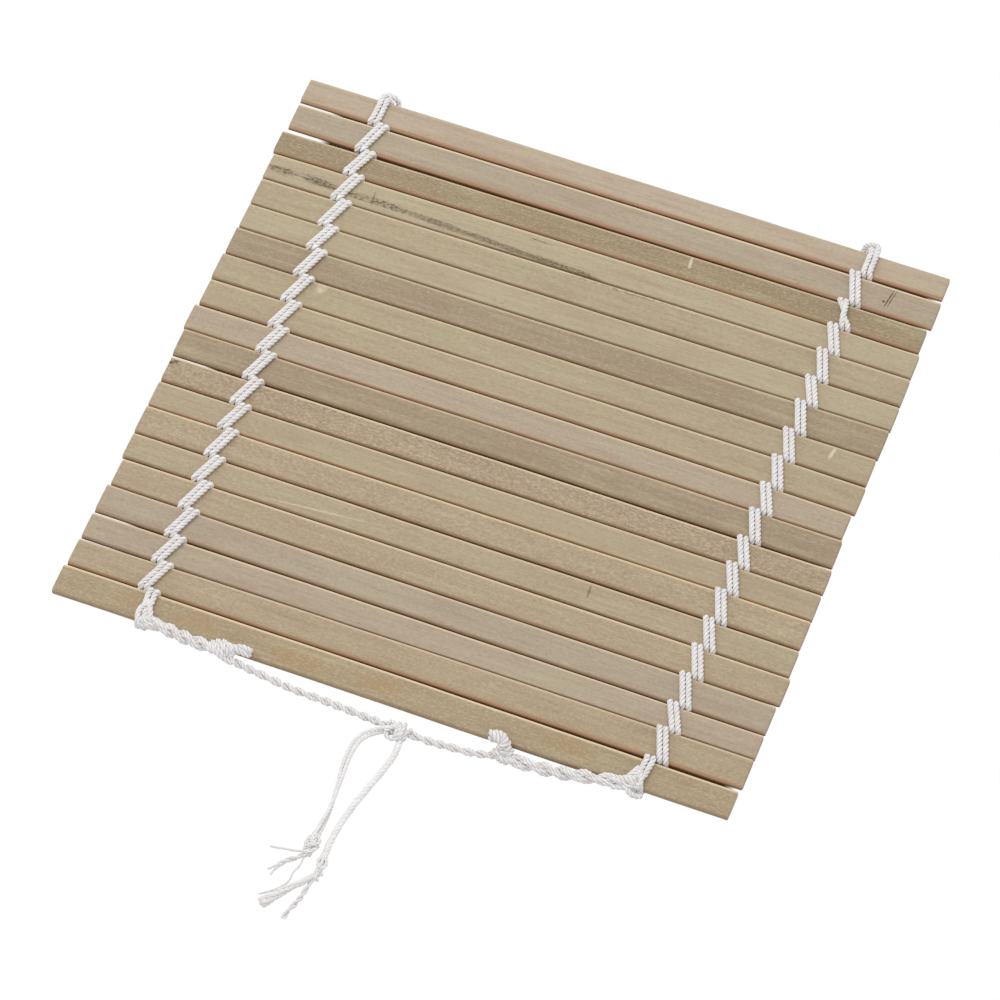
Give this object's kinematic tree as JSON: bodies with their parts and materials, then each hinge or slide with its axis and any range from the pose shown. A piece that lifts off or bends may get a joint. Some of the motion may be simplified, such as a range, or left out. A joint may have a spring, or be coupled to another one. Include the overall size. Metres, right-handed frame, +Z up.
{
  "type": "sushi rolling mat",
  "caption": "Bamboo sushi rolling mat of flat split slats bound side by side with two lines of white cotton cord, knotted and tied along the front edge.",
  "frame": {"origin": "bottom centre of the mat without its free cords, on the table under the middle of the slats", "axes": "+X along the slats, to the right seen from the edge with the tie; +Y from the tied front edge to the rear edge; +Z up, out of the side with the knots"},
  "size_m": [0.242, 0.3178, 0.0089],
  "materials": {
    "bamboo": "dry, slightly rough, sanded flat",
    "cotton_cord": "soft twisted cotton, matte"
  },
  "bodies": {
    "slat_01": {"slat_01": "bamboo", "stitches_01": "cotton_cord"},
    "slat_02": {"slat_02": "bamboo", "stitches_02": "cotton_cord"},
    "slat_03": {"slat_03": "bamboo", "stitches_03": "cotton_cord"},
    "slat_04": {"slat_04": "bamboo", "stitches_04": "cotton_cord"},
    "slat_05": {"slat_05": "bamboo", "stitches_05": "cotton_cord"},
    "slat_06": {"slat_06": "bamboo", "stitches_06": "cotton_cord"},
    "slat_07": {"slat_07": "bamboo", "stitches_07": "cotton_cord"},
    "slat_08": {"slat_08": "bamboo", "stitches_08": "cotton_cord"},
    "slat_09": {"slat_09": "bamboo", "stitches_09": "cotton_cord"},
    "slat_10": {"slat_10": "bamboo", "stitches_10": "cotton_cord"},
    "slat_11": {"slat_11": "bamboo", "stitches_11": "cotton_cord"},
    "slat_12": {"slat_12": "bamboo", "stitches_12": "cotton_cord"},
    "slat_13": {"slat_13": "bamboo", "stitches_13": "cotton_cord"},
    "slat_14": {"slat_14": "bamboo", "stitches_14": "cotton_cord"},
    "slat_15": {"slat_15": "bamboo", "stitches_15": "cotton_cord"},
    "slat_16": {"slat_16": "bamboo", "stitches_16": "cotton_cord"},
    "slat_17": {"slat_17": "bamboo", "stitches_17": "cotton_cord"},
    "slat_18": {"slat_18": "bamboo", "stitches_18": "cotton_cord"},
    "slat_19": {"slat_19": "bamboo", "stitches_19": "cotton_cord"},
    "slat_20": {"slat_20": "bamboo", "stitches_20": "cotton_cord", "left_corner_knot": "cotton_cord", "right_corner_knot": "cotton_cord", "left_edge_rope": "cotton_cord", "right_edge_rope": "cotton_cord", "left_stop_knot": "cotton_cord", "right_stop_knot": "cotton_cord", "left_cut_end": "cotton_cord", "right_cut_end": "cotton_cord", "left_edge_cord": "cotton_cord", "right_edge_cord": "cotton_cord", "tie_knot": "cotton_cord", "left_tie_tail": "cotton_cord", "right_tie_tail": "cotton_cord", "left_tail_knot": "cotton_cord", "right_tail_knot": "cotton_cord", "left_frayed_end": "cotton_cord", "right_frayed_end": "cotton_cord"}
  },
  "joints": [
    {"name": "fold_01_02", "type": "hinge", "parent": "slat_02", "child": "slat_01", "pos_m": [0, 0.10327, 0.00275], "axis": [1, 0, 0], "range_deg": [-38, 38]},
    {"name": "fold_02_03", "type": "hinge", "parent": "slat_03", "child": "slat_02", "pos_m": [0, 0.09074, 0.00275], "axis": [1, 0, 0], "range_deg": [-36, 36]},
    {"name": "fold_03_04", "type": "hinge", "parent": "slat_04", "child": "slat_03", "pos_m": [0, 0.0798, 0.00275], "axis": [1, 0, 0], "range_deg": [-34, 34]},
    {"name": "fold_04_05", "type": "hinge", "parent": "slat_05", "child": "slat_04", "pos_m": [0, 0.0683, 0.00275], "axis": [1, 0, 0], "range_deg": [-32, 32]},
    {"name": "fold_05_06", "type": "hinge", "parent": "slat_06", "child": "slat_05", "pos_m": [0, 0.05624, 0.00275], "axis": [1, 0, 0], "range_deg": [-30, 30]},
    {"name": "fold_06_07", "type": "hinge", "parent": "slat_07", "child": "slat_06", "pos_m": [0, 0.04558, 0.00275], "axis": [1, 0, 0], "range_deg": [-29, 29]},
    {"name": "fold_07_08", "type": "hinge", "parent": "slat_08", "child": "slat_07", "pos_m": [0, 0.03314, 0.00275], "axis": [1, 0, 0], "range_deg": [-28, 28]},
    {"name": "fold_08_09", "type": "hinge", "parent": "slat_09", "child": "slat_08", "pos_m": [0, 0.02145, 0.00275], "axis": [1, 0, 0], "range_deg": [-27, 27]},
    {"name": "fold_09_10", "type": "hinge", "parent": "slat_10", "child": "slat_09", "pos_m": [0, 0.00939, 0.00275], "axis": [1, 0, 0], "range_deg": [-26, 26]},
    {"name": "fold_10_11", "type": "hinge", "parent": "slat_11", "child": "slat_10", "pos_m": [0, -0.00126, 0.00275], "axis": [1, 0, 0], "range_deg": [-25, 25]},
    {"name": "fold_11_12", "type": "hinge", "parent": "slat_12", "child": "slat_11", "pos_m": [0, -0.01276, 0.00275], "axis": [1, 0, 0], "range_deg": [-25, 25]},
    {"name": "fold_12_13", "type": "hinge", "parent": "slat_13", "child": "slat_12", "pos_m": [0, -0.02464, 0.00275], "axis": [1, 0, 0], "range_deg": [-24, 24]},
    {"name": "fold_13_14", "type": "hinge", "parent": "slat_14", "child": "slat_13", "pos_m": [0, -0.0351, 0.00275], "axis": [1, 0, 0], "range_deg": [-23, 23]},
    {"name": "fold_14_15", "type": "hinge", "parent": "slat_15", "child": "slat_14", "pos_m": [0, -0.04707, 0.00275], "axis": [1, 0, 0], "range_deg": [-23, 23]},
    {"name": "fold_15_16", "type": "hinge", "parent": "slat_16", "child": "slat_15", "pos_m": [0, -0.05867, 0.00275], "axis": [1, 0, 0], "range_deg": [-22, 22]},
    {"name": "fold_16_17", "type": "hinge", "parent": "slat_17", "child": "slat_16", "pos_m": [0, -0.06989, 0.00275], "axis": [1, 0, 0], "range_deg": [-22, 22]},
    {"name": "fold_17_18", "type": "hinge", "parent": "slat_18", "child": "slat_17", "pos_m": [0, -0.0812, 0.00275], "axis": [1, 0, 0], "range_deg": [-21, 21]},
    {"name": "fold_18_19", "type": "hinge", "parent": "slat_19", "child": "slat_18", "pos_m": [0, -0.09213, 0.00275], "axis": [1, 0, 0], "range_deg": [-20, 20]},
    {"name": "fold_19_20", "type": "hinge", "parent": "slat_20", "child": "slat_19", "pos_m": [0, -0.10411, 0.00275], "axis": [1, 0, 0], "range_deg": [-18, 18]}
  ]
}
